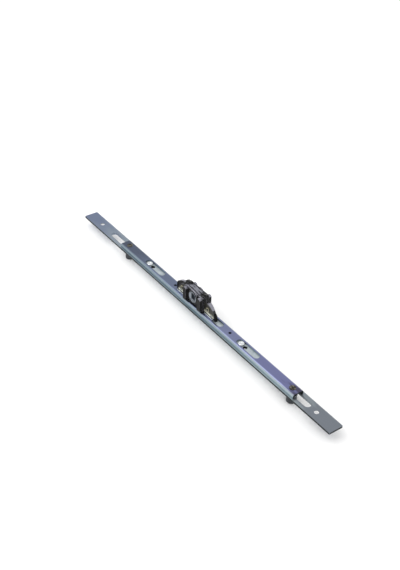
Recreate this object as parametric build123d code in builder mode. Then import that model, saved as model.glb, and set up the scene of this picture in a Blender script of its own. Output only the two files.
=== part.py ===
"""Window espagnolette with its gearbox: faceplate, drive rod, two cams and the gear case.

Millimetres. X runs along the faceplate, Y across it and +Z away from the window's edge, towards
the spindle. The origin is the middle of the faceplate's back face, straight under the spindle.
The drive rod stands at the +X end of its stroke. A quarter turn of the spindle pulls it to -X.
"""

from build123d import *
import os
from math import atan2, degrees, pi, radians, sin

os.makedirs("parts", exist_ok=True)

# Faceplate
plate_length = 420.0
plate_width = 16.0
plate_thick = 2.5
plate_corner = 0.5
plate_front_edge = 0.4
screw_hole_r = 2.3
screw_head_r = 4.3
end_screw_inset = 26.0
mid_screw_x = 80.0

# Gearing: a quarter turn of the spindle moves the rod by one stroke
stroke = 18.0
backset = 17.0
teeth_per_quarter = 3
tooth_count = 5
tooth_half = 1.42
tooth_tip_half = 0.95
tooth_above_pitch = 1.65
tooth_belly = 0.08
tooth_root_overlap = 1.0
root_below_pitch = 1.3
window_bar = 2.4
window_side_gap = 0.35

# Drive rod, a channel that lies open side down on the faceplate
rod_width = 12.6
rod_wall = 1.5
rod_shoulder_r = 2.0
rod_left_reach = 134.5
rod_right_reach = 158.5
rod_gap = 0.15
rod_slot_width = 7.0
rod_slot_end_room = 1.2
guide_slot_low_spare = 2.4
guide_slot_high_spare = 5.5
cut_past = 0.5

# Guide strips on the faceplate inside the rod, each with a guide stud beside its screw hole
strip_thick = 1.9
strip_side_gap = 0.2
strip_inner_x = 16.5
strip_outer_x = 107.0
stud_to_screw = 6.0
guide_stud_r = 3.25
guide_stud_below_rod_top = 0.2

# Glide buttons in the rod
glide_r = 1.6
glide_below_rod_top = 0.9
glide_room = 2.5

# Cams
cam_left_x = -126.0
cam_right_x = 150.5
cam_slot_width = 7.6
cam_slot_length = 50.0
cam_slot_left_end = 162.0
cam_slot_right_end = 175.3
stud_shank_r = 2.5
stud_shoulder_r = 3.3
stud_head_r = 3.3
stud_head_rise = 0.35
stud_foot_inset = 0.2
washer_r = 5.2
washer_thick = 0.6
washer_gap = 0.3
roller_r = 5.0
roller_length = 8.6
roller_recess_r = 3.9
roller_recess_deep = 1.1
roller_end_gap = 0.1
running_gap = 0.05

# Gear case, two shells back to back: each has a slab with a long wing at one end and a short one at
# the other, a block on it, two columns that stand proud of the block and a bay between them
case_gap = 0.3
slab_half = 2.6
block_face = 4.2
block_half = 15.3
block_top_x = 12.4
block_shoulder_z = 20.4
case_top = 22.0
body_half = 20.2
column_face = 7.3
column_inner_x = 9.6
column_outer_x = 14.6
column_low_z = 5.4
column_high_z = 20.2
column_round = 1.2
bay_floor = 3.2
bay_bar = 1.3
ring_r = 7.4
ring_face = 5.2
long_root_z = 18.2
long_middle = (27.2, 16.6)
long_end_x = 32.4
long_end_z = 12.9
short_root_z = 17.2
short_middle = (26.1, 13.4)
short_end_x = 29.8
short_end_z = 6.6
horn_tip = (-15.6, 24.3)
horn_outer = (-17.2, 20.6)
horn_inner_x = -9.6
body_hook = ((8.6, 20.6), (12.6, 22.3), (18.0, 23.0))
cover_hook = ((10.4, 22.0), (11.0, 24.3), (17.2, 22.7))
hook_shoulder_z = 20.8
body_end_z = 18.8
gutter_y = 2.9
gutter_wide = 1.0
gutter_deep = 1.3
hub_gap = 0.25

# Feet: plates under the wings that sit on the mounting posts
foot_thick = 1.2
foot_half_wide = 3.4
foot_block_gap = 0.4
foot_outer_x = 31.2
foot_corner = 1.2

# Spindle follower
spindle_square = 7.05
journal_r = 6.0
hub_r = 6.3
sector_thick = 4.0
sector_side_gap = 0.2
sector_tip_gap = 0.4
journal_proud = 0.5

# Mounting posts and the eyelets that join them to the case
post_x = 22.0
post_shank = 4.8
post_tongue_wide = 2.4
post_height = 13.8
post_fit_gap = 0.05
post_head = 5.6
post_head_thick = 0.4
post_head_edge = 0.2
eyelet_z = 11.5
eyelet_r = 1.6
eyelet_bore_r = 0.95
eyelet_flange_r = 2.6
eyelet_flange_thick = 0.4

# Black end pads that finish the long wings
pad_side_inset = 0.15
pad_reach = 3.0
pad_waist_z = 8.8
pad_shoulder_x = 2.2
pad_shoulder_z = 11.4
pad_gap = 0.15

# Places that follow from the sizes above
pitch_r = stroke / (pi / 2)
tooth_step = 90.0 / teeth_per_quarter
tooth_pitch = stroke / teeth_per_quarter
axis_z = backset - plate_thick
rod_top = axis_z - pitch_r + rod_wall / 2
rod_under = rod_top - rod_wall
tip_r = pitch_r + tooth_above_pitch
root_r = pitch_r - root_below_pitch
window_long = tooth_pitch - window_bar
window_wide = sector_thick + 2 * window_side_gap
case_bottom = rod_top + case_gap
chamber_half = sector_thick / 2 + sector_side_gap
chamber_r = tip_r + sector_tip_gap
first_tooth = -90.0 - tooth_step / 2
sector_span = tooth_step * (tooth_count - 1)
sector_edge = degrees(atan2(tooth_half, root_r))
chamber_top = axis_z + tip_r * sin(radians(tooth_step / 2 + sector_edge)) + sector_tip_gap
roller_top = -plate_thick - washer_gap - washer_thick - roller_end_gap
roller_bottom = roller_top - roller_length
end_screw_x = plate_length / 2 - end_screw_inset
head_face = -plate_thick - post_head_thick
slot_low = post_x - post_shank / 2 - rod_slot_end_room
slot_high = post_x + post_shank / 2 + stroke + rod_slot_end_room
pad_end_x = long_end_x + pad_reach
glide_left_x = -(pad_end_x + glide_room)
glide_right_x = pad_end_x + glide_room + stroke
wing_bottom = case_bottom + foot_thick
foot_inner_x = block_half + foot_block_gap
column_middle_x = (column_inner_x + column_outer_x) / 2
hook_low = body_hook[0][1]
strip_half_wide = rod_width / 2 - rod_wall - strip_side_gap
guide_low = guide_stud_r + guide_slot_low_spare
guide_high = guide_stud_r + stroke + guide_slot_high_spare
guide_shift = (guide_high - guide_low) / 2 - stud_to_screw
post_slot_mid = (slot_low + slot_high) / 2
cam_slot_left_mid = cam_slot_length / 2 - cam_slot_left_end
cam_slot_right_mid = cam_slot_right_end - cam_slot_length / 2

# Faceplate: a flat strip with countersunk screw holes, cam slots and square holes for the posts
with BuildPart() as faceplate:
    with BuildSketch(Plane.XY.offset(-plate_thick)):
        Rectangle(plate_length, plate_width)
    extrude(amount=plate_thick)
    chamfer(faceplate.edges().filter_by(Axis.Z), plate_corner)
    chamfer(faceplate.faces().sort_by(Axis.Z)[0].edges(), plate_front_edge)
    with Locations(Plane.XY.offset(-plate_thick)):
        with Locations((end_screw_x, 0), (-end_screw_x, 0), (mid_screw_x, 0), (-mid_screw_x, 0)):
            Cone(screw_head_r, screw_hole_r, screw_head_r - screw_hole_r,
                 align=(Align.CENTER, Align.CENTER, Align.MIN), mode=Mode.SUBTRACT)
            Cylinder(screw_hole_r, plate_thick,
                     align=(Align.CENTER, Align.CENTER, Align.MIN), mode=Mode.SUBTRACT)
    with BuildSketch(Plane.XY):
        with Locations((cam_slot_left_mid, 0), (cam_slot_right_mid, 0)):
            SlotOverall(cam_slot_length, cam_slot_width)
        with Locations((post_x, 0), (-post_x, 0)):
            Rectangle(post_shank + 2 * post_fit_gap, post_shank + 2 * post_fit_gap)
    extrude(amount=-plate_thick, mode=Mode.SUBTRACT)
faceplate.part.label = "faceplate"
export_step(faceplate.part, "parts/faceplate.step")

# Drive rod: a channel with round shoulders, slotted over the studs and posts and punched as a rack
rod_length = rod_left_reach + rod_right_reach
with BuildPart() as drive_rod:
    with BuildSketch(Plane.YZ.offset(-rod_left_reach)):
        with Locations((0, rod_gap)):
            outer = Rectangle(rod_width, rod_top - rod_gap, align=(Align.CENTER, Align.MIN))
        fillet(outer.vertices().group_by(Axis.Y)[-1], rod_shoulder_r)
    extrude(amount=rod_length)
    with BuildSketch(Plane.YZ.offset(-rod_left_reach)):
        with Locations((0, rod_gap)):
            Rectangle(rod_width - 2 * rod_wall, rod_under - rod_gap, align=(Align.CENTER, Align.MIN))
    extrude(amount=rod_length, mode=Mode.SUBTRACT)
    with BuildSketch(Plane.XY.offset(rod_top)):
        with Locations((guide_shift - mid_screw_x, 0), (guide_shift + mid_screw_x, 0)):
            SlotOverall(guide_low + guide_high, rod_slot_width)
        with Locations((post_slot_mid, 0), (post_slot_mid - 2 * post_x, 0)):
            SlotOverall(slot_high - slot_low, rod_slot_width)
        for k in range(tooth_count):
            with Locations(((k - 0.5) * tooth_pitch, 0)):
                Rectangle(window_long, window_wide)
        with Locations((cam_left_x, 0), (cam_right_x, 0)):
            Circle(stud_shank_r)
        with Locations((glide_left_x, 0), (glide_right_x, 0)):
            Circle(glide_r)
    extrude(amount=-rod_wall - cut_past, mode=Mode.SUBTRACT)
drive_rod.part.label = "drive_rod"
export_step(drive_rod.part, "parts/drive_rod.step")

# Guide strips: spacers on the faceplate that the channel slides along, pierced for a screw and a
# post. The guide studs stand on them in the rod's slots.
stud_top = rod_top - guide_stud_below_rod_top
strip_middle = (strip_inner_x + strip_outer_x) / 2
for side, way in (("left", -1), ("right", 1)):
    with BuildPart() as guide_strip:
        with BuildSketch(Plane.XY):
            with Locations((way * strip_middle, 0)):
                Rectangle(strip_outer_x - strip_inner_x, 2 * strip_half_wide)
            with Locations((way * mid_screw_x, 0)):
                Circle(screw_hole_r, mode=Mode.SUBTRACT)
            with Locations((way * post_x, 0)):
                Rectangle(post_shank + 2 * post_fit_gap, post_shank + 2 * post_fit_gap, mode=Mode.SUBTRACT)
        extrude(amount=strip_thick)
    guide_strip.part.label = f"guide_strip_{side}"
    export_step(guide_strip.part, f"parts/guide_strip_{side}.step")

    with BuildPart() as guide_stud:
        with BuildSketch(Plane.XY.offset(strip_thick)):
            with Locations((way * mid_screw_x - stud_to_screw, 0)):
                Circle(guide_stud_r)
        extrude(amount=stud_top - strip_thick)
    guide_stud.part.label = f"guide_stud_{side}"
    export_step(guide_stud.part, f"parts/guide_stud_{side}.step")

# Glide buttons: plugs pressed into the rod, whose feet run just above the guide strips
glide_foot_z = strip_thick + rod_gap
for side, glide_x in (("left", glide_left_x), ("right", glide_right_x)):
    with BuildPart() as rod_glide:
        with BuildSketch(Plane.XY.offset(glide_foot_z)):
            with Locations((glide_x, 0)):
                Circle(glide_r)
        extrude(amount=rod_top - glide_below_rod_top - glide_foot_z)
    rod_glide.part.label = f"rod_glide_{side}"
    export_step(rod_glide.part, f"parts/rod_glide_{side}.step")

# Cams: a shouldered stud riveted into the rod, a washer and a free roller under the faceplate
shoulder_face = -plate_thick - washer_gap
stud_foot_top = roller_bottom + roller_recess_deep - roller_end_gap
stud_foot_bottom = roller_bottom + stud_foot_inset
for side, cam_x in (("left", cam_left_x), ("right", cam_right_x)):
    with BuildPart() as cam_stud:
        with BuildSketch(Plane.XZ):
            with BuildLine():
                Polyline((cam_x, rod_top + stud_head_rise), (cam_x + stud_head_r, rod_top + stud_head_rise),
                         (cam_x + stud_head_r, rod_top), (cam_x + stud_shank_r, rod_top),
                         (cam_x + stud_shank_r, rod_under), (cam_x + stud_shoulder_r, rod_under),
                         (cam_x + stud_shoulder_r, shoulder_face), (cam_x + stud_shank_r, shoulder_face),
                         (cam_x + stud_shank_r, stud_foot_top), (cam_x + stud_head_r, stud_foot_top),
                         (cam_x + stud_head_r, stud_foot_bottom),
                         (cam_x, stud_foot_bottom), close=True)
            make_face()
        revolve(axis=Axis((cam_x, 0, 0), (0, 0, 1)))
    cam_stud.part.label = f"cam_stud_{side}"
    export_step(cam_stud.part, f"parts/cam_stud_{side}.step")

    with BuildPart() as cam_washer:
        with BuildSketch(Plane.XY.offset(shoulder_face)):
            with Locations((cam_x, 0)):
                Circle(washer_r)
                Circle(stud_shank_r + running_gap, mode=Mode.SUBTRACT)
        extrude(amount=-washer_thick)
    cam_washer.part.label = f"cam_washer_{side}"
    export_step(cam_washer.part, f"parts/cam_washer_{side}.step")

    with BuildPart() as cam_roller:
        with BuildSketch(Plane.XY.offset(roller_bottom)):
            with Locations((cam_x, 0)):
                Circle(roller_r)
                Circle(stud_shank_r + running_gap, mode=Mode.SUBTRACT)
        extrude(amount=roller_length)
        with BuildSketch(Plane.XY.offset(roller_bottom)):
            with Locations((cam_x, 0)):
                Circle(roller_recess_r)
        extrude(amount=roller_recess_deep, mode=Mode.SUBTRACT)
    cam_roller.part.label = f"cam_roller_{side}"
    export_step(cam_roller.part, f"parts/cam_roller_{side}.step")

# Spindle follower: a hub with a square socket and a toothed sector that dips into the rod's windows
axle_plane = Plane(origin=(0, 0, axis_z), x_dir=(1, 0, 0), z_dir=(0, -1, 0))
flank_r = root_r - tooth_root_overlap
belly_r = (pitch_r + tip_r) / 2
belly_half = (tooth_half + tooth_tip_half) / 2 + tooth_belly
with BuildSketch() as one_tooth:
    with BuildLine():
        Line((flank_r, tooth_half), (pitch_r, tooth_half))
        ThreePointArc((pitch_r, tooth_half), (belly_r, belly_half), (tip_r, tooth_tip_half))
        Line((tip_r, tooth_tip_half), (tip_r, -tooth_tip_half))
        ThreePointArc((tip_r, -tooth_tip_half), (belly_r, -belly_half), (pitch_r, -tooth_half))
        Polyline((pitch_r, -tooth_half), (flank_r, -tooth_half), (flank_r, tooth_half))
    make_face()

with BuildPart() as spindle_follower:
    with BuildSketch(axle_plane):
        Circle(hub_r)
        with BuildLine():
            root_arc = CenterArc((0, 0), root_r, first_tooth - sector_edge,
                                 sector_span + 2 * sector_edge)
            Polyline(root_arc @ 1, (0, 0), root_arc @ 0)
        make_face()
        with PolarLocations(0, tooth_count, start_angle=first_tooth,
                            angular_range=tooth_step * tooth_count):
            add(one_tooth.sketch)
    extrude(amount=sector_thick / 2, both=True)
    with BuildSketch(axle_plane):
        Circle(journal_r)
    extrude(amount=ring_face + journal_proud, both=True)
    with BuildSketch(axle_plane):
        Rectangle(spindle_square, spindle_square)
    extrude(amount=ring_face + journal_proud, both=True, mode=Mode.SUBTRACT)
spindle_follower.part.label = "spindle_follower"
export_step(spindle_follower.part, "parts/spindle_follower.step")

# Gear case: two cast shells back to back on the middle plane, so that each long wing lies behind
# the other shell's short one. They differ only in the hook on the top.
far_side = Plane(origin=(0, 0, 0), x_dir=(-1, 0, 0), z_dir=(0, 1, 0))
for name, plane, hook in (("case_body", Plane.XZ, body_hook), ("case_cover", far_side, cover_hook)):
    with BuildPart() as shell:
        with BuildSketch(plane):
            with BuildLine():
                ThreePointArc((body_half, long_root_z), long_middle, (long_end_x, long_end_z))
                Polyline((long_end_x, long_end_z), (long_end_x, wing_bottom), (block_half, wing_bottom),
                         (block_half, case_bottom), (-block_half, case_bottom),
                         (-block_half, wing_bottom), (-short_end_x, wing_bottom),
                         (-short_end_x, short_end_z))
                ThreePointArc((-short_end_x, short_end_z), (-short_middle[0], short_middle[1]),
                              (-body_half, short_root_z))
                Polyline((-body_half, short_root_z), (-body_half, body_end_z), horn_outer, horn_tip,
                         (horn_inner_x, case_top), (0, case_top), hook[0], hook[1], hook[2],
                         (body_half, hook_shoulder_z), (body_half, long_root_z))
            make_face()
        extrude(amount=slab_half)
        with BuildSketch(plane):
            with BuildLine():
                Polyline((-block_half, case_bottom), (block_half, case_bottom), (block_half, hook[0][1]),
                         hook[0], (0, case_top), (-block_top_x, case_top),
                         (-block_half, block_shoulder_z), close=True)
            make_face()
        extrude(amount=block_face)
        with BuildSketch(plane.offset(bay_floor)):
            with Locations((0, case_bottom)):
                Rectangle(2 * column_inner_x, hook_low - bay_bar - case_bottom,
                          align=(Align.CENTER, Align.MIN))
        extrude(amount=block_face - bay_floor, mode=Mode.SUBTRACT)
        for column_x in (column_middle_x, -column_middle_x):
            with BuildSketch(plane):
                with Locations((column_x, column_low_z)):
                    column = Rectangle(column_outer_x - column_inner_x, column_high_z - column_low_z,
                                       align=(Align.CENTER, Align.MIN))
                chamfer(column.vertices().group_by(Axis.Y)[-1], column_round)
            extrude(amount=column_face)
        with BuildSketch(plane):
            with Locations((0, axis_z)):
                Circle(ring_r)
        extrude(amount=ring_face)
        with BuildSketch(plane):
            with Locations((0, axis_z)):
                Circle(chamber_r)
            with Locations((0, chamber_top)):
                Rectangle(2 * chamber_r, chamber_r, align=(Align.CENTER, Align.MIN), mode=Mode.SUBTRACT)
            with Locations((0, axis_z)):
                Circle(hub_r + hub_gap)
        extrude(amount=chamber_half, mode=Mode.SUBTRACT)
        with BuildSketch(plane):
            with Locations((post_x, wing_bottom), (-post_x, wing_bottom)):
                Rectangle(post_shank + 2 * post_fit_gap, post_height - wing_bottom + hub_gap,
                          align=(Align.CENTER, Align.MIN))
        extrude(amount=post_tongue_wide / 2 + post_fit_gap, mode=Mode.SUBTRACT)
        with BuildSketch(plane):
            with Locations((0, axis_z)):
                Circle(journal_r + running_gap)
            with Locations((post_x, eyelet_z), (-post_x, eyelet_z)):
                Circle(eyelet_r + post_fit_gap)
        extrude(amount=ring_face, mode=Mode.SUBTRACT)
        with BuildSketch(Plane.XY.offset(case_top)):
            with Locations((0, plane.z_dir.Y * gutter_y)):
                Rectangle(2 * column_inner_x, gutter_wide)
        extrude(amount=-gutter_deep, mode=Mode.SUBTRACT)
    shell.part.label = name
    export_step(shell.part, f"parts/{name}.step")

# Feet: plates between the wings and the rod, seated on the posts' shoulders
for side, way in (("left", -1), ("right", 1)):
    with BuildPart() as case_foot:
        with BuildSketch(Plane.XY.offset(case_bottom)):
            with Locations((way * (foot_inner_x + foot_outer_x) / 2, 0)):
                plate = Rectangle(foot_outer_x - foot_inner_x, 2 * foot_half_wide)
            chamfer(plate.vertices(), foot_corner)
            with Locations((way * post_x, 0)):
                Rectangle(post_shank + 2 * post_fit_gap, post_tongue_wide + 2 * post_fit_gap,
                          mode=Mode.SUBTRACT)
        extrude(amount=foot_thick)
    case_foot.part.label = f"case_foot_{side}"
    export_step(case_foot.part, f"parts/case_foot_{side}.step")

# Mounting posts: riveted through the faceplate, they stand in the rod's slots and hold the case
for side, place in (("left", -post_x), ("right", post_x)):
    with BuildPart() as mounting_post:
        with BuildSketch(Plane.XY.offset(head_face)):
            with Locations((place, 0)):
                Rectangle(post_head, post_head)
        extrude(amount=post_head_thick)
        chamfer(mounting_post.faces().sort_by(Axis.Z)[0].edges(), post_head_edge)
        with BuildSketch(Plane.XY.offset(-plate_thick)):
            with Locations((place, 0)):
                Rectangle(post_shank, post_shank)
        extrude(amount=plate_thick + case_bottom)
        with BuildSketch(Plane.XY.offset(case_bottom)):
            with Locations((place, 0)):
                Rectangle(post_shank, post_tongue_wide)
        extrude(amount=post_height - case_bottom)
        with BuildSketch(Plane.XZ):
            with Locations((place, eyelet_z)):
                Circle(eyelet_r + post_fit_gap)
        extrude(amount=post_tongue_wide, both=True, mode=Mode.SUBTRACT)
    mounting_post.part.label = f"mounting_post_{side}"
    export_step(mounting_post.part, f"parts/mounting_post_{side}.step")

# Eyelets: tubular rivets through both shells and the post's cross hole
for side, place in (("left", -post_x), ("right", post_x)):
    with BuildPart() as case_eyelet:
        with BuildSketch(Plane.XZ):
            with Locations((place, eyelet_z)):
                Circle(eyelet_r)
        extrude(amount=slab_half, both=True)
        for way in (1, -1):
            with BuildSketch(Plane.XZ.offset(way * slab_half)):
                with Locations((place, eyelet_z)):
                    Circle(eyelet_flange_r)
            extrude(amount=way * eyelet_flange_thick)
        with BuildSketch(Plane.XZ):
            with Locations((place, eyelet_z)):
                Circle(eyelet_bore_r)
        extrude(amount=2 * slab_half, both=True, mode=Mode.SUBTRACT)
    case_eyelet.part.label = f"case_eyelet_{side}"
    export_step(case_eyelet.part, f"parts/case_eyelet_{side}.step")

# End pads: black ends of the long wings, just clear of the sliding rod
for side, plane in (("right", Plane.XZ), ("left", far_side)):
    with BuildPart() as end_pad:
        with BuildSketch(plane):
            with BuildLine():
                Polyline((long_end_x, rod_top + pad_gap), (pad_end_x, rod_top + pad_gap),
                         (pad_end_x, pad_waist_z), (long_end_x + pad_shoulder_x, pad_shoulder_z),
                         (long_end_x, long_end_z), close=True)
            make_face()
        extrude(amount=slab_half - pad_side_inset)
    end_pad.part.label = f"end_pad_{side}"
    export_step(end_pad.part, f"parts/end_pad_{side}.step")
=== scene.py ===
"""Looks of the window espagnolette gearbox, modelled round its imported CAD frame.

Sizes are millimetres and are turned to metres where they are used. X runs along the faceplate,
Y along the spindle and Z away from the window's edge, as in the part.
"""

import math

import bmesh
import bpy
from mathutils import Matrix, Vector


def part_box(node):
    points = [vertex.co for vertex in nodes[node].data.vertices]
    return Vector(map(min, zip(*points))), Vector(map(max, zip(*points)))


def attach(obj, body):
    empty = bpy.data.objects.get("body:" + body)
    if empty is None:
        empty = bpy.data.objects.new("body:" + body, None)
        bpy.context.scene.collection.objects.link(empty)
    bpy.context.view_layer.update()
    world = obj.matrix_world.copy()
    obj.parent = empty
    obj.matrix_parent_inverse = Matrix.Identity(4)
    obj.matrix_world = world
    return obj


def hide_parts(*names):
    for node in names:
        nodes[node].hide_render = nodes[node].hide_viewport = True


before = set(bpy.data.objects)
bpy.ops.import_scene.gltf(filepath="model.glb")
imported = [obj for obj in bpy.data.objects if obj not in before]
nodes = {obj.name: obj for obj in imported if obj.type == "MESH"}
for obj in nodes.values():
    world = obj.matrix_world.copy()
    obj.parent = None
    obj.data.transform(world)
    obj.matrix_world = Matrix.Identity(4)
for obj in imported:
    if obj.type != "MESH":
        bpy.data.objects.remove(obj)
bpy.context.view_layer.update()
MM = 0.001


def place_of(node):
    """Middle of a node's box at rest, and its lowest and highest corners, in millimetres."""
    low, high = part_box(node)
    low, high = Vector(low) / MM, Vector(high) / MM
    return (low + high) / 2, low, high


def size_of(node):
    """Size of a node's box at rest, in millimetres."""
    low, high = place_of(node)[1:]
    return high - low


# Places read from the frame
plate_low, plate_high = place_of("faceplate")[1:]
rod_low, rod_high = place_of("drive_rod")[1:]
strip_top = place_of("guide_strip_left")[2].z
floor_z = place_of("cam_roller_left")[1].z

# Sizes repeated from the part
END_SCREW_X = 184
MIDDLE_SCREW_X = 80
SCREW_HOLE_R = 2.3
SCREW_HEAD_R = 4.3
ROD_WALL = 1.5
GUIDE_STUD_R = 3.25
GLIDE_R = 1.6
STUD_SHANK_R = 2.5
RUNNING_GAP = 0.05
WASHER_R = 5.2
WASHER_THICK = 0.6
ROLLER_R = 5.0
ROLLER_RECESS_R = 3.9
ROLLER_RECESS_DEEP = 1.1
SLAB_HALF = 2.6
BODY_HALF = 20.2
BLOCK_FACE = 4.2
COLUMN_OUTER_X = 14.6
RING_FACE = 5.2
AXLE_Z = 14.5
JOURNAL_R = 6.0
EYELET_R = 1.6
EYELET_BORE_R = 0.95
EYELET_FLANGE_R = 2.6
EYELET_FLANGE_THICK = 0.4

# Sizes that only the looks have
SHANK_BORE_R = STUD_SHANK_R + RUNNING_GAP
POCKET_TOP = 18.0
POCKET_RIM = 0.75
POCKET_DEEP = 0.35
RIDGE_LOW = 20.7
RAIL_Y = 3.3
LONG_ARC_LOW = 14.6
SHORT_ARC_LOW = 9
FUNNEL_DEEP = 1.3
FUNNEL_RIM = 0.5
STUD_HEAD_RIM = 1.5
STUD_DIMPLE_EDGE = 0.7
STUD_DIMPLE_DEEP = 0.24
GUIDE_STUD_CHAMFER = 0.35
GUIDE_STUD_DIMPLE_R = 1.2
GLIDE_CHAMFER = 0.15
GLIDE_DIMPLE_R = 0.7
DIMPLE_SLOPE = 0.2
ROLLER_CHAMFER = 0.6
EYELET_SHADE_R = 1.54
KEEPER_R = 2.26
KEEPER_BORE_R = 1.0
KEEPER_THICK = 1.3
KEEPER_SUNK = 0.5
RIVET_R = 1.25
RIVET_RISE = 0.5

# Each wing's small rivet: how far from the spindle towards the long wing's end, and how high
RIVET_SEATS = {"long": (28.4, 7.2), "short": (-24.6, 7.3)}

# The part of a face's normal that goes along an axis, from 0 to 1, where the face looks along it
# squarely, mostly, partly or only just, and the millimetres within which a face counts as in a place
SQUARELY = 0.9
MOSTLY = 0.5
PARTLY = 0.3
BARELY = 0.15
NEAR = 0.1

# Vertices nearer than this many millimetres are one, and flats and edges are told by these degrees
WELD = 0.002
FLAT_ANGLE = 0.5
BROKEN_ANGLE = 30
SMOOTH_ANGLE = 40


def linear(text):
    """sRGB hex colour as linear RGBA."""
    channels = [int(text[i:i + 2], 16) / 255 for i in (0, 2, 4)]
    return [c / 12.92 if c <= 0.04045 else ((c + 0.055) / 1.055) ** 2.4 for c in channels] + [1.0]


def each(*sizes):
    """Pattern scale whose marks are about that many millimetres across, or along X, Y and Z."""
    scales = [1 / (size * MM) for size in sizes]
    return scales if len(scales) > 1 else scales[0]


# Work on meshes


def nothing_selected():
    """Leaves edit mode and lets every object go."""
    if bpy.context.object and bpy.context.object.mode != "OBJECT":
        bpy.ops.object.mode_set(mode="OBJECT")
    bpy.ops.object.select_all(action="DESELECT")


def pick(piece):
    """Selects one object alone and makes it the active one."""
    nothing_selected()
    piece.select_set(True)
    bpy.context.view_layer.objects.active = piece


def pick_faces(piece, wanted):
    """Enters edit mode with only the faces selected whose middle (mm) and normal pass the test."""
    pick(piece)
    bpy.ops.object.mode_set(mode="EDIT")
    bpy.ops.mesh.select_mode(type="FACE")
    bpy.ops.mesh.select_all(action="DESELECT")
    mesh = bmesh.from_edit_mesh(piece.data)
    for face in mesh.faces:
        face.select_set(bool(wanted(face.calc_center_median() / MM, face.normal)))
    bmesh.update_edit_mesh(piece.data)


def back_to_object():
    """Leaves edit mode."""
    bpy.ops.object.mode_set(mode="OBJECT")


def blank_from(node, name):
    """A loose copy of a CAD solid, welded and with its flats made whole, ready to be worked on."""
    piece = bpy.data.objects.new(name, nodes[node].data.copy())
    bpy.context.scene.collection.objects.link(piece)
    piece.data.materials.clear()
    pick(piece)
    bpy.ops.object.mode_set(mode="EDIT")
    bpy.ops.mesh.select_all(action="SELECT")
    bpy.ops.mesh.remove_doubles(threshold=WELD * MM)
    bpy.ops.mesh.dissolve_limited(angle_limit=math.radians(FLAT_ANGLE), use_dissolve_boundaries=False)
    back_to_object()
    return piece


def turn(name, stations, sides=56, bored=False):
    """Turns a piece about Z: a ring is drawn at the first station, pulled to each next one and sized
    there. Stations are (radius, height) in mm. A bored piece has its last ring joined to its first."""
    nothing_selected()
    radius, height = stations[0]
    bpy.ops.mesh.primitive_circle_add(vertices=sides, radius=radius * MM, location=(0, 0, height * MM))
    piece = bpy.context.object
    piece.name = name
    bpy.ops.object.transform_apply(location=True, rotation=True, scale=True)
    bpy.ops.object.mode_set(mode="EDIT")
    bpy.ops.mesh.select_mode(type="EDGE")
    bpy.ops.mesh.select_all(action="SELECT")
    for next_radius, next_height in stations[1:]:
        rise = (0, 0, (next_height - height) * MM)
        grow = next_radius / radius
        bpy.ops.mesh.extrude_region_move(TRANSFORM_OT_translate={"value": rise})
        bpy.ops.transform.resize(value=(grow, grow, 1), center_override=(0, 0, next_height * MM))
        radius, height = next_radius, next_height
    bpy.ops.mesh.select_all(action="DESELECT")
    bpy.ops.mesh.select_non_manifold()
    if bored:
        bpy.ops.mesh.bridge_edge_loops()
    else:
        bpy.ops.mesh.edge_face_add()
        bpy.ops.mesh.select_all(action="DESELECT")
        bpy.ops.mesh.select_non_manifold()
        bpy.ops.mesh.fill_holes(sides=0)
    bpy.ops.mesh.select_all(action="SELECT")
    bpy.ops.mesh.remove_doubles(threshold=WELD * MM)
    bpy.ops.mesh.normals_make_consistent(inside=False)
    back_to_object()
    return piece


def copy_of(piece):
    """A copy with a mesh of its own."""
    twin = piece.copy()
    twin.data = piece.data.copy()
    bpy.context.scene.collection.objects.link(twin)
    return twin


def stand(piece, place, lying=False, facing=-1):
    """Sets a turned piece in its place and bakes that place in. A lying one has its end towards the
    side of Y that it faces."""
    pick(piece)
    piece.location = Vector(place) * MM
    piece.rotation_euler = (math.radians(-90 * facing) if lying else 0, 0, 0)
    bpy.ops.object.transform_apply(location=True, rotation=True, scale=True)


def pair_of(piece, kind, ending, lying=False):
    """Sets the piece in the left node's place and its copy in the right one's. A standing piece has
    its foot at the bottom of the node's box, and a lying one its middle in the middle of it."""
    for side, one in (("left", piece), ("right", copy_of(piece))):
        node = f"{kind}_{side}"
        middle, low, high = place_of(node)
        one.name = node + ending
        stand(one, middle if lying else (middle.x, middle.y, low.z), lying)
        yield side, node, one


def coat(piece, *finishes):
    """Gives a piece its materials. The first one covers it until others are painted on."""
    for finish in finishes:
        piece.data.materials.append(finish)


def slot_of(piece, finish):
    """Number of the piece's slot that holds a material."""
    return piece.data.materials.find(finish.name)


def break_edges(piece, width, segments=2, angle=BROKEN_ANGLE, edge_finish=None):
    """Breaks the sharp edges as tumbling or casting does, and evens the shading of the flats. The
    clamp keeps the width below what the narrowest face leaves room for. Where a material is given for
    them, the broken edges take it; on the case that is bare zinc, worn and with painted highlight."""
    pick(piece)
    bevel = piece.modifiers.new("broken edges", "BEVEL")
    bevel.width = width * MM
    bevel.segments = segments
    bevel.limit_method = "ANGLE"
    bevel.angle_limit = math.radians(angle)
    bevel.use_clamp_overlap = True
    bevel.material = slot_of(piece, edge_finish) if edge_finish else -1
    bpy.ops.object.modifier_apply(modifier=bevel.name)
    bpy.ops.object.shade_smooth_by_angle(angle=math.radians(SMOOTH_ANGLE))
    even = piece.modifiers.new("even flats", "WEIGHTED_NORMAL")
    even.keep_sharp = True
    bpy.ops.object.modifier_apply(modifier=even.name)


def paint_picked(piece, finish):
    """Gives the selected faces one of the piece's materials, and leaves edit mode."""
    piece.active_material_index = slot_of(piece, finish)
    bpy.ops.object.material_slot_assign()
    back_to_object()


def paint(piece, finish, wanted):
    """Gives the faces that pass the test one of the piece's materials."""
    pick_faces(piece, wanted)
    paint_picked(piece, finish)


def in_hole(at, normal, x, radius):
    """Whether a face lies on the wall of an upright hole, or on its countersink."""
    return abs(normal.z) < SQUARELY and math.hypot(at.x - x, at.y) < radius + NEAR


def fit(piece, body, slot, *replaced):
    """Sets a piece on the body that it rides on and hides the nodes that it replaces. The slot is not used.
    """
    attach(piece, body)
    if replaced:
        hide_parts(*replaced)


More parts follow.
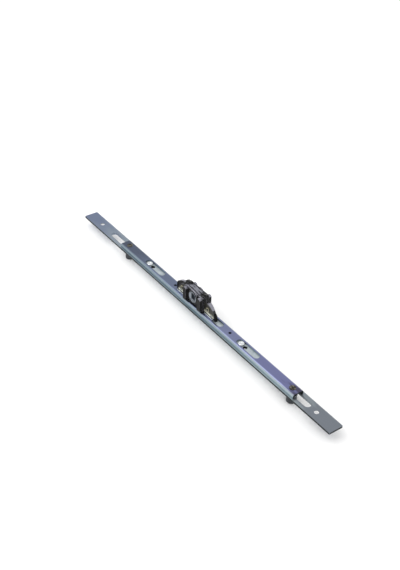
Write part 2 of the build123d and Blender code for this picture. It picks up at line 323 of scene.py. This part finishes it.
# Work on materials


def set_up(tree, node, inputs=None, **settings):
    """Sets a node's properties and sockets by name. Each of its inputs, by name or number, is linked
    to another node's output or gets a value."""
    for name, value in settings.items():
        if hasattr(node, name):
            setattr(node, name, value)
        else:
            node.inputs[name.replace("_", " ")].default_value = value
    for name, source in (inputs or {}).items():
        if isinstance(source, bpy.types.NodeSocket):
            tree.links.new(source, node.inputs[name])
        else:
            node.inputs[name].default_value = source
    return node


def add_node(tree, kind, inputs=None, **settings):
    """Adds one node and sets it up."""
    return set_up(tree, tree.nodes.new(kind), inputs, **settings)


def new_material(name):
    """A new material, its tree and its shader."""
    material = bpy.data.materials.new(name)
    material.use_nodes = True
    tree = material.node_tree
    return material, tree, tree.nodes["Principled BSDF"]


def set_ramp(ramp, *stops):
    """Colour stops of a ramp, each a position from 0 to 1 and a hex colour."""
    elements = ramp.color_ramp.elements
    while len(elements) < len(stops):
        elements.new(0.5)
    for element, (position, colour) in zip(elements, stops):
        element.position = position
        element.color = linear(colour)


def finish_surface(tree, surface, marks, *stops, tint_by=None, rough=None, bump=None, deep=0.1, **settings):
    """Lets a pattern's marks finish a shader. Its colour goes through the stops by the marks, or by
    `tint_by` where that is given. Its roughness goes between the two values of `rough`, and `bump` is
    the strength of marks that many millimetres deep. The settings are sockets of the shader."""
    tint = add_node(tree, "ShaderNodeValToRGB", {"Fac": marks if tint_by is None else tint_by})
    set_ramp(tint, *stops)
    inputs = {"Base Color": tint.outputs["Color"]}
    if rough:
        dull = add_node(tree, "ShaderNodeMapRange", {"Value": marks}, To_Min=rough[0], To_Max=rough[1])
        inputs["Roughness"] = dull.outputs["Result"]
    if bump:
        raised = add_node(tree, "ShaderNodeBump", {"Height": marks}, Strength=bump, Distance=deep * MM)
        inputs["Normal"] = raised.outputs["Normal"]
    set_up(tree, surface, inputs, **settings)


# Materials

# How much the clouds add to a film's drift from end to end, on the plate and on the rod
PLATE_CLOUDS = 0.2
ROD_CLOUDS = 0.25

# Cold rolled strip with bright zinc and a blue passivation. Rolling leaves fine lines along the
# strip, which stretch the reflections: really about 0.05 mm apart, they are drawn at 0.3 mm so that
# they show. The thin film drifts from steel blue at the end that left the bath last to a greyer
# silver at the other, in clouds of about 45 by 11 mm.
plate_zinc, tree, surface = new_material("blue passivated zinc on cold rolled strip")
place = add_node(tree, "ShaderNodeTexCoord").outputs["Object"]
along = add_node(tree, "ShaderNodeSeparateXYZ", {"Vector": place})
drift_map = add_node(tree, "ShaderNodeMapping", {"Vector": place}, Scale=each(45, 11, 11))
drift = add_node(tree, "ShaderNodeTexNoise", {"Vector": drift_map.outputs["Vector"]}, Scale=1.0, Detail=3.0)
reach = add_node(tree, "ShaderNodeMapRange", {"Value": along.outputs["X"]},
                 From_Min=plate_low.x * MM, From_Max=plate_high.x * MM, To_Max=0.8)
cloud = add_node(tree, "ShaderNodeMath", {0: drift.outputs["Fac"], 1: PLATE_CLOUDS,
                                          2: reach.outputs["Result"]}, operation="MULTIPLY_ADD")
line_map = add_node(tree, "ShaderNodeMapping", {"Vector": place}, Scale=each(17, 0.3, 0.3))
lines = add_node(tree, "ShaderNodeTexNoise", {"Vector": line_map.outputs["Vector"]}, Scale=1.0, Detail=3.0)
finish_surface(tree, surface, lines.outputs["Fac"], (0.13, "717c94"), (0.24, "909ba4"), (0.62, "939fa5"),
               (0.76, "a5b0b3"), (0.84, "797f87"), tint_by=cloud.outputs["Value"], rough=(0.28, 0.44),
               bump=0.10, Metallic=1.0)

# The strip's sheared side under the same zinc: vertical tear marks of about 0.6 by 4 mm make it dull
# and nearly black against the bright flats.
sheared_zinc, tree, surface = new_material("zinc on a sheared strip edge")
place = add_node(tree, "ShaderNodeTexCoord").outputs["Object"]
tear_map = add_node(tree, "ShaderNodeMapping", {"Vector": place}, Scale=each(0.6, 0.6, 4))
tears = add_node(tree, "ShaderNodeTexNoise", {"Vector": tear_map.outputs["Vector"]}, Scale=1.0, Detail=4.0)
finish_surface(tree, surface, tears.outputs["Fac"], (0.3, "25292b"), (0.7, "3c4143"),
               bump=0.35, Metallic=0.85, Roughness=0.55)

# Roll formed channel with bright zinc and a thicker, iridescent passivation: slate at the left end,
# violet at the right and darker over its last centimetre, in clouds of about 33 by 8 mm. The flanks
# are painted a paler blue green than the crown as reflection. Its forming lines are drawn at 0.4 mm,
# coarser than real ones, so that they show.
rod_zinc, tree, surface = new_material("iridescent zinc on roll formed channel")
place = add_node(tree, "ShaderNodeTexCoord").outputs["Object"]
along = add_node(tree, "ShaderNodeSeparateXYZ", {"Vector": place})
drift_map = add_node(tree, "ShaderNodeMapping", {"Vector": place}, Scale=each(33, 8, 8))
drift = add_node(tree, "ShaderNodeTexNoise", {"Vector": drift_map.outputs["Vector"]}, Scale=1.0, Detail=3.0)
reach = add_node(tree, "ShaderNodeMapRange", {"Value": along.outputs["X"]},
                 From_Min=-135 * MM, From_Max=160 * MM, To_Max=0.85)
cloud = add_node(tree, "ShaderNodeMath", {0: drift.outputs["Fac"], 1: ROD_CLOUDS,
                                          2: reach.outputs["Result"]}, operation="MULTIPLY_ADD")
crown = add_node(tree, "ShaderNodeValToRGB", {"Fac": cloud.outputs["Value"]})
set_ramp(crown, (0.14, "4d5465"), (0.34, "677188"), (0.7, "787e9e"), (0.91, "72759e"), (0.955, "4d4a5f"))
flank = add_node(tree, "ShaderNodeValToRGB", {"Fac": cloud.outputs["Value"]})
set_ramp(flank, (0.14, "8b9ba4"), (0.7, "96a4aa"), (0.87, "aab7bd"))
# Below the crown the flanks take the paler ramp: painted reflection
rise = add_node(tree, "ShaderNodeMapRange", {"Value": along.outputs["Z"]},
                From_Min=2.6 * MM, From_Max=3.8 * MM)
film_and_reflection = add_node(tree, "ShaderNodeMix", {0: rise.outputs["Result"], 6: flank.outputs["Color"],
                                        7: crown.outputs["Color"]}, data_type="RGBA")
line_map = add_node(tree, "ShaderNodeMapping", {"Vector": place}, Scale=each(20, 0.4, 0.4))
lines = add_node(tree, "ShaderNodeTexNoise", {"Vector": line_map.outputs["Vector"]}, Scale=1.0, Detail=3.0)
dull = add_node(tree, "ShaderNodeMapRange", {"Value": lines.outputs["Fac"]}, To_Min=0.26, To_Max=0.40)
raised = add_node(tree, "ShaderNodeBump", {"Height": lines.outputs["Fac"]}, Strength=0.08, Distance=0.1 * MM)
set_up(tree, surface, {"Base Color": film_and_reflection.outputs[2], "Roughness": dull.outputs["Result"],
                       "Normal": raised.outputs["Normal"]}, Metallic=1.0)

# Turned free cutting steel under bright zinc: barrel tumbling leaves an even grain, drawn at 0.4 mm,
# coarser than the real one, so that it shows.
turned_zinc, tree, surface = new_material("bright zinc on turned steel")
place = add_node(tree, "ShaderNodeTexCoord").outputs["Object"]
grain = add_node(tree, "ShaderNodeTexNoise", {"Vector": place}, Scale=each(0.4), Detail=3.0)
finish_surface(tree, surface, grain.outputs["Fac"], (0.3, "90969b"), (0.7, "abb0b3"),
               rough=(0.22, 0.36), bump=0.08, deep=0.05, Metallic=1.0)

# The guide studs' tops and the case's feet, burnished in the tumbling drum: nearly a mirror, and
# painted near white as highlight so that they show as white against the rod. A faint haze lies on
# them in clouds of about 1.2 mm.
burnished_zinc_highlight, tree, surface = new_material("burnished zinc, painted highlight")
place = add_node(tree, "ShaderNodeTexCoord").outputs["Object"]
haze = add_node(tree, "ShaderNodeTexNoise", {"Vector": place}, Scale=each(1.2), Detail=3.0)
finish_surface(tree, surface, haze.outputs["Fac"], (0.3, "ccd1d4"), (0.7, "eceff0"),
               Metallic=1.0, Roughness=0.24)

# Blanked steel plate, barrel plated under a matt white bloom of fresh zinc. Its pale colour is painted
# light, so that the guide strips stay pale in the shade of the rod's channel. The bloom's clouds are
# about 3 mm across.
pale_lit_zinc, tree, surface = new_material("matt zinc on blanked plate, painted pale as light")
place = add_node(tree, "ShaderNodeTexCoord").outputs["Object"]
bloom = add_node(tree, "ShaderNodeTexNoise", {"Vector": place}, Scale=each(3.0), Detail=5.0)
finish_surface(tree, surface, bloom.outputs["Fac"], (0.3, "a3adb2"), (0.7, "c3cbcd"),
               rough=(0.42, 0.6), bump=0.15, Metallic=0.55)

# Steel struck by the riveting tool after plating: the zinc is crushed and stained a dark olive brown,
# in blotches of about 2.4 mm.
peened_steel, tree, surface = new_material("peened steel, olive passivated")
place = add_node(tree, "ShaderNodeTexCoord").outputs["Object"]
stain = add_node(tree, "ShaderNodeTexNoise", {"Vector": place}, Scale=each(2.4), Detail=4.0)
finish_surface(tree, surface, stain.outputs["Fac"], (0.36, "2b2927"), (0.5, "45423b"), (0.62, "77756c"),
               bump=0.30, Metallic=0.9, Roughness=0.38)

# Brass coloured passivation on the drawn and rolled eyelets: small pale yellow glints from marks of
# about 0.7 mm.
yellow_zinc, tree, surface = new_material("yellow passivated zinc on a drawn eyelet")
place = add_node(tree, "ShaderNodeTexCoord").outputs["Object"]
grain = add_node(tree, "ShaderNodeTexNoise", {"Vector": place}, Scale=each(0.7), Detail=3.0)
finish_surface(tree, surface, grain.outputs["Fac"], (0.3, "857f66"), (0.7, "a8a48e"),
               Metallic=1.0, Roughness=0.28)

# Pressed and sintered steel: even, faintly porous, tumbled to a dull shine. The pores are drawn
# 0.25 mm apart, coarser than real ones, so that they show.
sintered, tree, surface = new_material("sintered steel, tumbled")
place = add_node(tree, "ShaderNodeTexCoord").outputs["Object"]
pores = add_node(tree, "ShaderNodeTexVoronoi", {"Vector": place}, Scale=each(0.25))
finish_surface(tree, surface, pores.outputs["Distance"], (0.0, "4e5258"), (0.5, "8b9199"),
               rough=(0.48, 0.32), bump=0.15, deep=0.05, Metallic=1.0)

# Pressure die cast zinc under a dark lacquer: satin and nearly black, with an orange peel of 0.7 mm
# and slightly browner clouds of about 5 mm.
casting, tree, surface = new_material("dark lacquered zinc die casting")
place = add_node(tree, "ShaderNodeTexCoord").outputs["Object"]
peel = add_node(tree, "ShaderNodeTexNoise", {"Vector": place}, Scale=each(0.7), Detail=3.0)
cloud = add_node(tree, "ShaderNodeTexNoise", {"Vector": place}, Scale=each(5.0), Detail=4.0)
finish_surface(tree, surface, peel.outputs["Fac"], (0.35, "1b1c1e"), (0.6, "262525"), (0.8, "34312f"),
               tint_by=cloud.outputs["Fac"], rough=(0.5, 0.72), bump=0.22, Specular_IOR_Level=0.12)

# The same casting where the flash was trimmed and the lacquer rubbed off: bare, faintly violet zinc
# with trimming marks of about 1.5 mm. On the broken edges, rails, ridge and wings' arcs its light
# colour is also painted highlight.
bare_and_highlit_casting, tree, surface = new_material("bare zinc casting and painted highlight on edges and tops")
place = add_node(tree, "ShaderNodeTexCoord").outputs["Object"]
trim_map = add_node(tree, "ShaderNodeMapping", {"Vector": place}, Scale=each(1.5, 0.5, 1.5))
trimmed = add_node(tree, "ShaderNodeTexNoise", {"Vector": trim_map.outputs["Vector"]}, Scale=1.0, Detail=3.0)
finish_surface(tree, surface, trimmed.outputs["Fac"], (0.25, "75757e"), (0.7, "9b9ba5"),
               bump=0.20, Metallic=0.8, Roughness=0.4)

# The top of the casting, with streaks of rubbed lacquer of about 6 by 1.5 mm. Their light is a painted
# sheen: it is strongest within 7 mm of a line that lies 1 mm to the left of the middle, and fades up
# to 11 mm from it.
rubbed_and_sheen_casting, tree, surface = new_material("rubbed lacquer and painted sheen on the top of the casting")
place = add_node(tree, "ShaderNodeTexCoord").outputs["Object"]
rub_map = add_node(tree, "ShaderNodeMapping", {"Vector": place}, Scale=each(6.0, 1.5, 6.0))
rubbed = add_node(tree, "ShaderNodeTexNoise", {"Vector": rub_map.outputs["Vector"]}, Scale=1.0, Detail=3.0)
along = add_node(tree, "ShaderNodeSeparateXYZ", {"Vector": place})
# A painted sheen along the middle of the top
off_middle = add_node(tree, "ShaderNodeMath", {0: along.outputs["X"], 1: 1 * MM}, operation="ADD")
reach = add_node(tree, "ShaderNodeMath", {0: off_middle.outputs["Value"]}, operation="ABSOLUTE")
sheen_pool = add_node(tree, "ShaderNodeMapRange", {"Value": reach.outputs["Value"]},
                From_Min=7 * MM, From_Max=11 * MM, To_Min=1.0, To_Max=0.35)
streaks_in_sheen = add_node(tree, "ShaderNodeMath", {0: sheen_pool.outputs["Result"], 1: rubbed.outputs["Fac"]},
                operation="MULTIPLY")
finish_surface(tree, surface, rubbed.outputs["Fac"], (0.26, "1b1b1d"), (0.42, "585962"), (0.56, "85868f"),
               tint_by=streaks_in_sheen.outputs["Value"], bump=0.25, Metallic=0.6, Roughness=0.42)

# The sunk faces of the wings were left unlacquered under a yellow passivation: an olive grey with
# spots of about 2.5 mm. The pale colour that the spots take just above the feet is painted reflection.
olive_and_reflection_casting, tree, surface = new_material("olive passivated wing face")
place = add_node(tree, "ShaderNodeTexCoord").outputs["Object"]
along = add_node(tree, "ShaderNodeSeparateXYZ", {"Vector": place})
spots = add_node(tree, "ShaderNodeTexNoise", {"Vector": place}, Scale=each(2.5), Detail=4.0)
# Towards the feet the spots turn pale: painted reflection
low = add_node(tree, "ShaderNodeMapRange", {"Value": along.outputs["Z"]},
               From_Min=10.5 * MM, From_Max=5.5 * MM)
bottom_reflection = add_node(tree, "ShaderNodeMath", {0: low.outputs["Result"], 1: spots.outputs["Fac"]},
                operation="MULTIPLY")
finish_surface(tree, surface, spots.outputs["Fac"], (0.03, "2d2d28"), (0.15, "4c4b40"), (0.28, "a5a692"),
               (0.4, "e6e9dd"), tint_by=bottom_reflection.outputs["Value"], bump=0.3, Metallic=0.5, Roughness=0.38)

# Moulded black polyamide: a matt spark eroded skin, its grain drawn at 0.45 mm, coarser than the real
# one, so that it shows.
nylon, tree, surface = new_material("black polyamide, moulded")
place = add_node(tree, "ShaderNodeTexCoord").outputs["Object"]
skin = add_node(tree, "ShaderNodeTexNoise", {"Vector": place}, Scale=each(0.45), Detail=2.0)
finish_surface(tree, surface, skin.outputs["Fac"], (0.3, "08090a"), (0.7, "111314"),
               bump=0.25, Roughness=0.7, Specular_IOR_Level=0.1)

# Hardened roller steel under dark oil: nearly black with a soft shine and turning rings about 0.3 mm
# high round the axis. On the walls of the middle screw holes, inside the rod's channel and in the
# eyelets' bores, its dark colour is painted shade.
oiled_steel_and_shade, tree, surface = new_material("oiled dark roller steel and painted shade")
place = add_node(tree, "ShaderNodeTexCoord").outputs["Object"]
ring_map = add_node(tree, "ShaderNodeMapping", {"Vector": place}, Scale=each(7, 7, 0.3))
rings = add_node(tree, "ShaderNodeTexNoise", {"Vector": ring_map.outputs["Vector"]}, Scale=1.0, Detail=2.0)
finish_surface(tree, surface, rings.outputs["Fac"], (0.3, "383a3e"), (0.7, "515458"),
               bump=0.12, Metallic=0.9, Roughness=0.35)

# Faceplate

# The punched strip has broken edges and dull sheared sides. The walls of its end holes are bright,
# and those of the middle ones, where the screw keepers sit, are painted dark as shade in the holes
faceplate = blank_from("faceplate", "faceplate_strip")
coat(faceplate, plate_zinc, sheared_zinc, turned_zinc, oiled_steel_and_shade)
break_edges(faceplate, width=0.18)
paint(faceplate, sheared_zinc, lambda at, normal: (
    abs(normal.z) < PARTLY and (abs(at.y) > plate_high.y - NEAR or abs(at.x) > plate_high.x - NEAR)))
# The walls of the middle holes take painted shade
for screw_x, finish in ((END_SCREW_X, turned_zinc), (MIDDLE_SCREW_X, oiled_steel_and_shade)):
    for way in (-1, 1):
        paint(faceplate, finish, lambda at, normal: in_hole(at, normal, way * screw_x, SCREW_HEAD_R))
fit(faceplate, "lock", "zinc_plate", "faceplate")

# Drive rod

# The channel has rolled shoulders and pressed slot edges and dull cut ends; its inside is painted dark as
# shade
rod = blank_from("drive_rod", "rod_channel")
coat(rod, rod_zinc, sheared_zinc, oiled_steel_and_shade)
break_edges(rod, width=0.15, angle=40)
paint(rod, sheared_zinc, lambda at, normal: (
    abs(normal.x) > SQUARELY and (at.x < rod_low.x + NEAR or at.x > rod_high.x - NEAR)))
# Painted shade inside the channel
paint(rod, oiled_steel_and_shade, lambda at, normal: (
    at.z < rod_high.z - ROD_WALL + NEAR and abs(at.y) < rod_high.y - ROD_WALL + NEAR
    and abs(normal.x) < SQUARELY))
fit(rod, "rod", "zinc_rod", "drive_rod")

# Guide strips and case feet

# Both are blanked plates with broken edges. The walls of the strips' screw holes are painted dark as shade,
# and the feet near white as highlight
for side, way in (("left", -1), ("right", 1)):
    node = f"guide_strip_{side}"
    strip = blank_from(node, node + "_blanked")
    # The strips' pale colour is painted light in the shade of the rod's channel
    coat(strip, pale_lit_zinc, oiled_steel_and_shade)
    break_edges(strip, width=0.12)
    # Painted shade on the walls of the screw holes
    paint(strip, oiled_steel_and_shade, lambda at, normal: in_hole(at, normal, way * MIDDLE_SCREW_X, SCREW_HOLE_R))
    fit(strip, "lock", "bright_steel", node)

for node in ("case_foot_left", "case_foot_right"):
    foot = blank_from(node, node + "_blanked")
    # The feet's near white is painted highlight
    coat(foot, burnished_zinc_highlight)
    break_edges(foot, width=0.12)
    fit(foot, "lock", "bright_steel", node)

# Gear case shells

# Each stands on one side of Y, with its long wing towards the opposite side of X. A wing's face is
# sunk inside a raised rim, olive with painted reflection near the feet. The broken edges, the rails
# beside the gutters, the ridge over the ring and the wings' arcs are worn bare and painted with
# highlight, and the middle of the top is partly so, with a painted sheen
for node, way in (("case_body", -1), ("case_cover", 1)):
    shell = blank_from(node, node + "_casting")
    coat(shell, casting, bare_and_highlit_casting, rubbed_and_sheen_casting, olive_and_reflection_casting)
    for height in (POCKET_TOP, RIDGE_LOW):
        pick_faces(shell, lambda at, normal: True)
        bpy.ops.mesh.bisect(plane_co=(0, 0, height * MM), plane_no=(0, 0, 1))
        back_to_object()
    # The sunk face is olive, painted pale with reflection just above the feet
    pick_faces(shell, lambda at, normal: (
        normal.y * way > SQUARELY and abs(abs(at.y) - SLAB_HALF) < NEAR and at.z < POCKET_TOP))
    bpy.ops.mesh.inset(thickness=POCKET_RIM * MM, depth=-POCKET_DEEP * MM, use_boundary=True)
    paint_picked(shell, olive_and_reflection_casting)
    # Broken edges are worn bare and painted with highlight
    break_edges(shell, width=0.28, edge_finish=bare_and_highlit_casting)
    # The middle of the top has rubbed lacquer under a painted sheen
    paint(shell, rubbed_and_sheen_casting, lambda at, normal: (
        normal.z > MOSTLY and abs(at.y) < RAIL_Y and abs(at.x) < COLUMN_OUTER_X))
    # Rails, ridge and wings' arcs are worn bare and painted with highlight
    paint(shell, bare_and_highlit_casting, lambda at, normal: (
        normal.z > MOSTLY and abs(at.y) > RAIL_Y and abs(at.x) < COLUMN_OUTER_X))
    paint(shell, bare_and_highlit_casting, lambda at, normal: (
        abs(normal.y) > SQUARELY and at.z > RIDGE_LOW and abs(abs(at.y) - BLOCK_FACE) < NEAR))
    for wing_way, arc_low in ((-way, LONG_ARC_LOW), (way, SHORT_ARC_LOW)):
        paint(shell, bare_and_highlit_casting, lambda at, normal: (
            normal.z > BARELY and at.z > arc_low
            and at.x * wing_way > BODY_HALF and abs(at.y) < SLAB_HALF))
    paint(shell, casting, lambda at, normal: (
        at.z < LONG_ARC_LOW and at.x * -way > BODY_HALF and normal.x * -way > PARTLY))
    fit(shell, "lock", "dark_casting", node)

# Follower

# The ring in the case's side has a funnel round its square socket: the socket's corners are pushed in
follower = blank_from("spindle_follower", "follower_sector")
coat(follower, sintered)
for way in (-1, 1):
    pick_faces(follower, lambda at, normal: normal.y * way > SQUARELY and abs(at.y) > RING_FACE)
    bpy.ops.mesh.select_mode(type="VERT")
    mesh = bmesh.from_edit_mesh(follower.data)
    for vert in mesh.verts:
        off_axle = math.hypot(vert.co.x / MM, vert.co.z / MM - AXLE_Z)
        vert.select_set(vert.select and off_axle < JOURNAL_R - FUNNEL_RIM)
    mesh.select_flush_mode()
    bmesh.update_edit_mesh(follower.data)
    bpy.ops.transform.translate(value=(0, -way * FUNNEL_DEEP * MM, 0))
    back_to_object()
break_edges(follower, width=0.12)
fit(follower, "follower", "follower_steel", "spindle_follower")

# Mounting posts

# Their square heads lie on the faceplate's front
for node in ("mounting_post_left", "mounting_post_right"):
    post = blank_from(node, node + "_riveted")
    coat(post, turned_zinc)
    break_edges(post, width=0.15)
    fit(post, "lock", "bright_steel", node)

# End pads

# They are the moulded ends of the long wings
for node in ("end_pad_left", "end_pad_right"):
    pad = blank_from(node, node + "_moulded")
    coat(pad, nylon)
    break_edges(pad, width=0.4, segments=3)
    fit(pad, "lock", "black_plastic", node)

# Cam studs

# Their flat heads stand above the rod, where the riveting tool has dimpled and stained them
for node in ("cam_stud_left", "cam_stud_right"):
    stud = blank_from(node, node + "_peened")
    coat(stud, turned_zinc, peened_steel)
    head_top = place_of(node)[2].z
    pick_faces(stud, lambda at, normal: normal.z > SQUARELY and at.z > head_top - NEAR)
    bpy.ops.mesh.inset(thickness=STUD_HEAD_RIM * MM, depth=0)
    bpy.ops.mesh.inset(thickness=STUD_DIMPLE_EDGE * MM, depth=-STUD_DIMPLE_DEEP * MM)
    back_to_object()
    break_edges(stud, width=0.06)
    paint(stud, peened_steel, lambda at, normal: at.z > rod_high.z - NEAR)
    fit(stud, "rod", "yellow_steel", node)

# Turned pieces

# Each kind is drawn once, standing at the origin with its foot at zero, and finished there. The left
# one is that piece and the right one its copy. A guide stud is chamfered, and its top, painted near
# white as highlight, has a dimple in the middle
tall = size_of("guide_stud_left").z
guide_stud = turn("guide_stud", [
    (GUIDE_STUD_R, 0), (GUIDE_STUD_R, tall - GUIDE_STUD_CHAMFER), (GUIDE_STUD_R - GUIDE_STUD_CHAMFER, tall),
    (GUIDE_STUD_DIMPLE_R, tall), (GUIDE_STUD_DIMPLE_R - DIMPLE_SLOPE, tall - 0.25), (0.3, tall - 0.3)])
coat(guide_stud, turned_zinc, burnished_zinc_highlight)
break_edges(guide_stud, width=0.08)
# The upward faces are painted near white as highlight
paint(guide_stud, burnished_zinc_highlight, lambda at, normal: normal.z > PARTLY)
for side, node, piece in pair_of(guide_stud, "guide_stud", "_turned"):
    fit(piece, "lock", "bright_steel", node)

# A glide has the same form and is smaller
tall = size_of("rod_glide_left").z
glide = turn("rod_glide", [
    (GLIDE_R, 0), (GLIDE_R, tall - 0.12), (GLIDE_R - GLIDE_CHAMFER, tall),
    (GLIDE_DIMPLE_R, tall), (GLIDE_DIMPLE_R - DIMPLE_SLOPE, tall - 0.2), (0.1, tall - 0.22)])
coat(glide, nylon)
break_edges(glide, width=0.05)
for side, node, piece in pair_of(glide, "rod_glide", "_turned"):
    fit(piece, "rod", "black_plastic" if side == "left" else "bright_steel", node)

washer = turn("cam_washer", [
    (WASHER_R, 0), (WASHER_R, WASHER_THICK), (SHANK_BORE_R, WASHER_THICK), (SHANK_BORE_R, 0)], bored=True)
coat(washer, turned_zinc)
break_edges(washer, width=0.08)
for side, node, piece in pair_of(washer, "cam_washer", "_stamped"):
    fit(piece, "rod", "bright_steel", node)

# A roller is recessed from below round its stud and chamfered at both ends
tall = size_of("cam_roller_left").z
roller = turn("cam_roller", [
    (ROLLER_RECESS_R, ROLLER_RECESS_DEEP), (ROLLER_RECESS_R, 0),
    (ROLLER_R - ROLLER_CHAMFER, 0), (ROLLER_R, ROLLER_CHAMFER),
    (ROLLER_R, tall - ROLLER_CHAMFER), (ROLLER_R - ROLLER_CHAMFER, tall),
    (SHANK_BORE_R, tall), (SHANK_BORE_R, ROLLER_RECESS_DEEP)], bored=True)
coat(roller, oiled_steel_and_shade)
break_edges(roller, width=0.10)
for side, node, piece in pair_of(roller, "cam_roller", "_turned"):
    fit(piece, f"roller_{side}", "bright_steel", node)

# Eyelets

# Each end of the tube is rolled over into a trumpet, listed here as (radius, depth below the end), and
# the bore is painted dark as shade
mouth = [(EYELET_BORE_R, 1.6), (1.35, 0.5), (1.7, 0), (2.35, 0), (EYELET_FLANGE_R, 0.2),
         (2.5, EYELET_FLANGE_THICK), (EYELET_R, EYELET_FLANGE_THICK)]
half = size_of("case_eyelet_left").y / 2
eyelet = turn("case_eyelet", [(radius, deep - half) for radius, deep in mouth]
              + [(radius, half - deep) for radius, deep in reversed(mouth)], bored=True)
coat(eyelet, yellow_zinc, oiled_steel_and_shade)
break_edges(eyelet, width=0.06)
# Painted shade in the bore
paint(eyelet, oiled_steel_and_shade, lambda at, normal: math.hypot(at.x, at.y) < EYELET_SHADE_R)
for side, node, piece in pair_of(eyelet, "case_eyelet", "_rolled", lying=True):
    fit(piece, "lock", "yellow_steel", node)

# Screw keepers

# Black plastic rings in the middle screw holes hold the screws until they are driven
keeper = turn("screw_keeper", [
    (KEEPER_BORE_R, -KEEPER_THICK), (KEEPER_R, -KEEPER_THICK), (KEEPER_R, 0), (1.9, 0),
    (KEEPER_BORE_R, -0.35)], sides=32, bored=True)
coat(keeper, nylon)
for side, way, piece in (("left", -1, keeper), ("right", 1, copy_of(keeper))):
    piece.name = f"screw_keeper_{side}"
    stand(piece, (way * MIDDLE_SCREW_X, 0, strip_top - KEEPER_SUNK))
    fit(piece, "lock", "black_plastic")

# Rivet heads

# Small rivets close the two shells, one near the end of each wing
head = turn("rivet_head", [
    (RIVET_R, 0), (RIVET_R, 0.14), (1.0, 0.36), (0.55, 0.48), (0.12, RIVET_RISE)], sides=32)
coat(head, turned_zinc)
seats = [(way, wing) for way in (-1, 1) for wing in RIVET_SEATS]
heads = [head] + [copy_of(head) for _ in seats[1:]]
for piece, (way, wing) in zip(heads, seats):
    piece.name = f"rivet_head_{'front' if way < 0 else 'back'}_{wing}_wing"
    seat_x, seat_z = RIVET_SEATS[wing]
    stand(piece, (-way * seat_x, way * SLAB_HALF, seat_z), lying=True, facing=way)
    fit(piece, "lock", "bright_steel")

# Stage

FLOOR_WIDE = 6000

nothing_selected()
bpy.ops.mesh.primitive_plane_add(size=FLOOR_WIDE * MM, location=(0, 0, floor_z * MM))
floor = bpy.context.object
floor.name = "floor"
paper, tree, surface = new_material("white paper floor")
set_up(tree, surface, Base_Color=linear("fafafa"), Roughness=0.9)
coat(floor, paper)

# Lights

# The sky is plain white, and one wide box hangs over the camera's side of the plate
KEY_PLACE = (-300, -500, 900)
KEY_WIDE = 1200
KEY_HIGH = 900
KEY_WATTS = 5

world = bpy.data.worlds.new("studio")
bpy.context.scene.world = world
world.use_nodes = True
set_up(world.node_tree, world.node_tree.nodes["Background"], Color=(1, 1, 1, 1), Strength=1.0)

key = bpy.data.lights.new("key box", "AREA")
key.shape = "RECTANGLE"
key.size = KEY_WIDE * MM
key.size_y = KEY_HIGH * MM
key.energy = KEY_WATTS
key_box = bpy.data.objects.new("key box", key)
bpy.context.scene.collection.objects.link(key_box)
key_box.location = [at * MM for at in KEY_PLACE]
key_box.rotation_mode = "QUATERNION"
key_box.rotation_quaternion = (-Vector(KEY_PLACE)).to_track_quat("-Z", "Y")

# Camera

# It stands where the photograph was taken from, fitted to the faceplate's edges. Its turn round Z,
# its rise over the floor and its roll are radians, and its lens is in pixels of the photograph
CAMERA_TURN = 0.92924
CAMERA_RISE = 0.63414
CAMERA_ROLL = 0.03437
CAMERA_PLACE = (619.504, -459.391, 594.675)
CAMERA_NEAR = 10
CAMERA_FAR = 20000
LENS_PIXELS = 961.76
PHOTO_HIGH = 570
SENSOR = 36.0

camera_data = bpy.data.cameras.new("camera")
camera = bpy.data.objects.new("camera", camera_data)
bpy.context.scene.collection.objects.link(camera)
back = Vector((math.sin(CAMERA_TURN) * math.cos(CAMERA_RISE),
               -math.cos(CAMERA_TURN) * math.cos(CAMERA_RISE), math.sin(CAMERA_RISE)))
level = Vector((math.cos(CAMERA_TURN), math.sin(CAMERA_TURN), 0.0))
upright = back.cross(level)
right = math.cos(CAMERA_ROLL) * level + math.sin(CAMERA_ROLL) * upright
up = -math.sin(CAMERA_ROLL) * level + math.cos(CAMERA_ROLL) * upright
stance = Matrix((right, up, back)).transposed().to_4x4()
stance.translation = Vector(CAMERA_PLACE) * MM
camera.matrix_world = stance
camera_data.sensor_width = SENSOR
camera_data.lens = LENS_PIXELS / PHOTO_HIGH * SENSOR
camera_data.clip_start = CAMERA_NEAR * MM
camera_data.clip_end = CAMERA_FAR * MM
bpy.context.scene.camera = camera
bpy.context.scene.view_settings.view_transform = "Standard"

bpy.context.view_layer.update()
